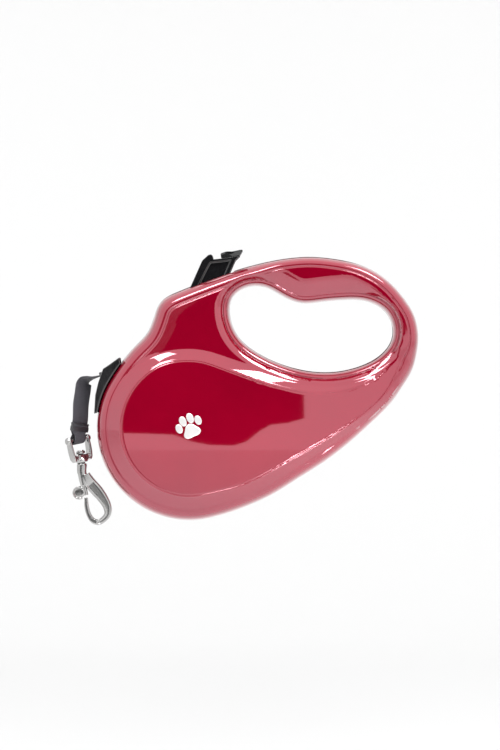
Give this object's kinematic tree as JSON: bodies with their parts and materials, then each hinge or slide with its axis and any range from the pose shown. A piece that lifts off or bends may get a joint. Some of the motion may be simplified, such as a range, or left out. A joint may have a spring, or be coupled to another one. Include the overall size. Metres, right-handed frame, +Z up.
{
  "type": "retractable leash",
  "caption": "Hand-held retractable tape leash: two-shell housing with a hand hole, sprung tape reel, thumb brake with lock, and a swivel snap hook on the tape end.",
  "frame": {"origin": "middle of the grip, the top bar of the handle, on the parting plane of the two shells", "axes": "+Z up with the leash held level, +X from the tape nozzle towards the handle's far end, -Y out of the front face; the reel turns about Y"},
  "size_m": [0.1837, 0.036, 0.1428],
  "materials": {
    "shell_red": "high gloss moulded ABS",
    "trim_black": "gloss black ABS",
    "reel_black": "matt moulded acetal",
    "clamp_black": "satin",
    "nylon": "natural nylon",
    "webbing": "tight woven nylon tape",
    "nickel": "bright nickel plate",
    "steel": "zinc plated"
  },
  "bodies": {
    "housing": {"front_shell": "shell_red", "back_shell": "shell_red", "nozzle": "trim_black", "reel_axle": "steel", "thrust_washer_front": "nylon", "thrust_washer_back": "nylon", "housing_screw_1": "steel", "housing_screw_2": "steel", "housing_screw_3": "steel", "housing_screw_4": "steel", "housing_screw_5": "steel", "housing_screw_6": "steel", "tape_run": "webbing", "button_spring": "steel", "tape_free": "webbing"},
    "reel": {"reel_drum": "reel_black", "reel_flange": "reel_black", "flange_screw_1": "steel", "flange_screw_2": "steel", "flange_screw_3": "steel", "wound_tape": "webbing", "spring_cup": "nylon", "power_spring": "steel"},
    "button": {"brake_button": "trim_black", "brake_plunger": "nylon"},
    "lock": {"brake_lock": "trim_black"},
    "leash_end": {"tape_clamp": "clamp_black", "tape_loop": "webbing"},
    "hook_eye": {"swivel_eye": "nickel"},
    "hook_body": {"snap_hook": "nickel", "bolt_spring": "steel"},
    "hook_bolt": {"snap_bolt": "nickel"}
  },
  "joints": [
    {"name": "tape_payout", "type": "slide", "parent": "housing", "child": "leash_end", "axis": [-0.14, 0, -0.9902], "range_m": [0, 0.25258], "stiffness_N_per_m": 4, "springref_m": -0.75, "deforming": ["tape_free"]},
    {"name": "reel_spin", "type": "hinge", "parent": "housing", "child": "reel", "pos_m": [-0.062, 0, -0.0765], "axis": [0, -1, 0], "range_deg": [0, 361]},
    {"name": "brake_press", "type": "slide", "parent": "housing", "child": "button", "axis": [-0.42, 0, -0.9075], "range_m": [0, 0.004], "stiffness_N_per_m": 400, "springref_m": -0.001, "deforming": ["button_spring"]},
    {"name": "lock_slide", "type": "slide", "parent": "button", "child": "lock", "axis": [-0.9895, 0, -0.1443], "range_m": [0, 0.0036]},
    {"name": "hook_swing", "type": "hinge", "parent": "leash_end", "child": "hook_eye", "pos_m": [-0.1203, 0, -0.0831], "axis": [0.773, 0.6154, 0.1543], "range_deg": [-18, 60]},
    {"name": "hook_swivel", "type": "hinge", "parent": "hook_eye", "child": "hook_body", "pos_m": [-0.1203, 0, -0.0831], "axis": [0.1957, 0, -0.9807], "continuous": true},
    {"name": "bolt_pull", "type": "slide", "parent": "hook_body", "child": "hook_bolt", "axis": [-0.1957, 0, 0.9807], "range_m": [0, 0.0045], "stiffness_N_per_m": 300, "springref_m": -0.001, "deforming": ["bolt_spring"]}
  ],
  "couplings": [
    {"joint": "reel_spin", "follows": "tape_payout", "rad_per_m": 24.876}
  ]
}
